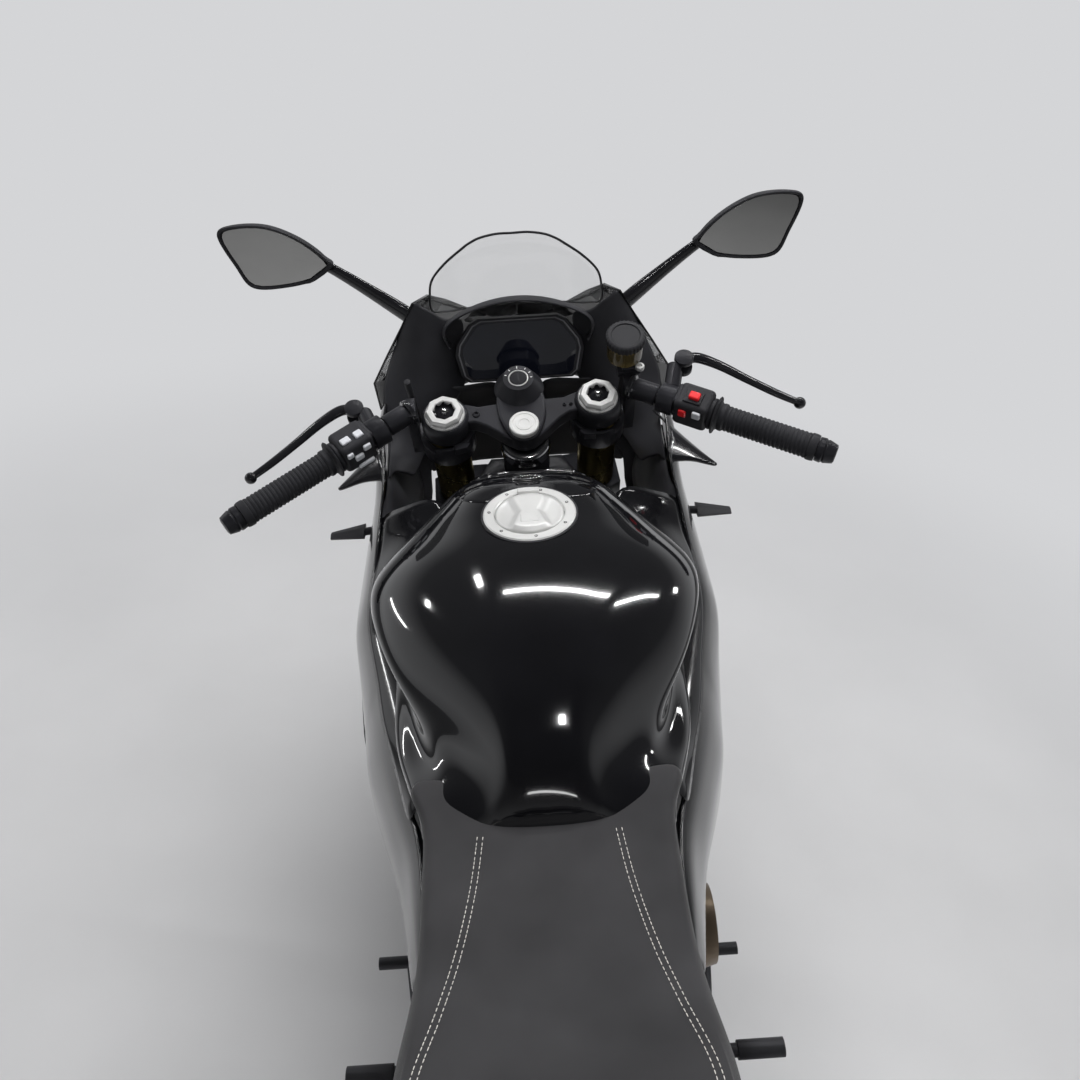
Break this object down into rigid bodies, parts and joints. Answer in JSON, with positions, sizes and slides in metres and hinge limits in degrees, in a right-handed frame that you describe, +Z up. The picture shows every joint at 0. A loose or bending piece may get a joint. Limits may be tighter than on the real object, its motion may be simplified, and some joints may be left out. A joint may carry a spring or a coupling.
{
  "type": "sport bike",
  "caption": "Full-size black sport bike with full fairing, clip-on bars and stitched seat, leaning on its side stand; steering, wheels, stand and filler cap move.",
  "frame": {"origin": "on the floor, at the middle of the whole bike's box", "axes": "+Y forward, the way the bike points; +X to the rider's right; +Z up from the floor. The bike leans 8.5 degrees to its left."},
  "size_m": [0.8404, 2.0632, 1.1795],
  "materials": {
    "gloss_paint": "gloss black paint",
    "gloss_panel": "gloss black",
    "matte_black": "grained matt black",
    "satin_alloy": "satin black coating on aluminium",
    "gloss_alloy": "gloss black coating on aluminium",
    "satin_steel": "satin black paint",
    "dark_casting": "dark cast aluminium",
    "bronze_cover": "dark bronze coating",
    "gold_alloy": "gold anodised",
    "steel": "machined steel",
    "dark_steel": "dark painted steel",
    "polished": "bright plated",
    "grip_rubber": "moulded black rubber",
    "tyre_rubber": "black tyre rubber",
    "seat_fabric": "charcoal suede cloth with pale stitching",
    "amber_plastic": "translucent amber plastic",
    "plate_white": "blank white plate",
    "screen": "clear acrylic",
    "lens": "clear and red lamp lenses",
    "mirror_glass": "mirror glass"
  },
  "bodies": {
    "chassis": {"frame": "satin_alloy", "swingarm": "satin_alloy", "subframe": "satin_steel", "engine": "dark_casting", "engine_covers": "bronze_cover", "chain": "steel", "radiator": "dark_casting", "exhaust": "steel", "muffler": "satin_steel", "tank": "gloss_paint", "tank_cover": "gloss_paint", "filler_ring": "polished", "rider_seat": "seat_fabric", "pillion_seat": "seat_fabric", "tail_cowl": "gloss_panel", "plate_hanger": "matte_black", "number_plate": "plate_white", "indicators": "matte_black", "rear_hugger": "matte_black", "rear_shock": "dark_steel", "rear_caliper": "dark_casting", "rear_axle": "steel", "footrests": "dark_casting", "side_fairings": "gloss_panel", "belly_pan": "gloss_panel", "nose_cowl": "gloss_panel", "lamps": "lens", "windscreen": "screen", "display": "matte_black", "inner_panels": "matte_black", "mirrors": "gloss_panel", "mirror_glasses": "mirror_glass"},
    "steering": {"front_axle": "steel", "forks": "gold_alloy", "fork_caps": "polished", "top_yoke": "satin_alloy", "ignition_lock": "matte_black", "lower_yoke": "satin_alloy", "clipons": "satin_alloy", "grips": "grip_rubber", "switchgear": "matte_black", "lever_perches": "satin_alloy", "levers": "gloss_alloy", "brake_reservoir": "amber_plastic", "front_calipers": "dark_casting", "front_mudguard": "gloss_panel", "brake_hoses": "grip_rubber"},
    "front_wheel": {"front_tyre": "tyre_rubber", "front_rim": "satin_alloy", "front_discs": "steel"},
    "rear_wheel": {"rear_tyre": "tyre_rubber", "rear_rim": "satin_alloy", "rear_disc": "steel", "rear_sprocket": "steel"},
    "side_stand": {"side_stand": "satin_steel"},
    "fuel_cap": {"fuel_cap": "polished"}
  },
  "joints": [
    {"name": "steering", "type": "hinge", "parent": "chassis", "child": "steering", "pos_m": [0.03638, 0.46292, 0.81345], "axis": [-0.135, -0.4061, 0.9038], "range_deg": [-27.5, 20.5]},
    {"name": "front_wheel_spin", "type": "hinge", "parent": "steering", "child": "front_wheel", "pos_m": [0.11152, 0.73223, 0.29648], "axis": [-0.9835, -0.0559, -0.1721], "continuous": true},
    {"name": "rear_wheel_spin", "type": "hinge", "parent": "chassis", "child": "rear_wheel", "pos_m": [0.11135, -0.6777, 0.31259], "axis": [-0.989, -0.0001, -0.1478], "continuous": true},
    {"name": "side_stand_hinge", "type": "hinge", "parent": "chassis", "child": "side_stand", "pos_m": [0.01285, -0.07777, 0.21355], "axis": [-0.8221, 0.2522, 0.5105], "range_deg": [0, 89]},
    {"name": "fuel_cap_hinge", "type": "hinge", "parent": "chassis", "child": "fuel_cap", "pos_m": [0.02015, 0.25671, 0.92219], "axis": [-0.989, -0.0001, -0.1478], "range_deg": [0, 95]}
  ]
}
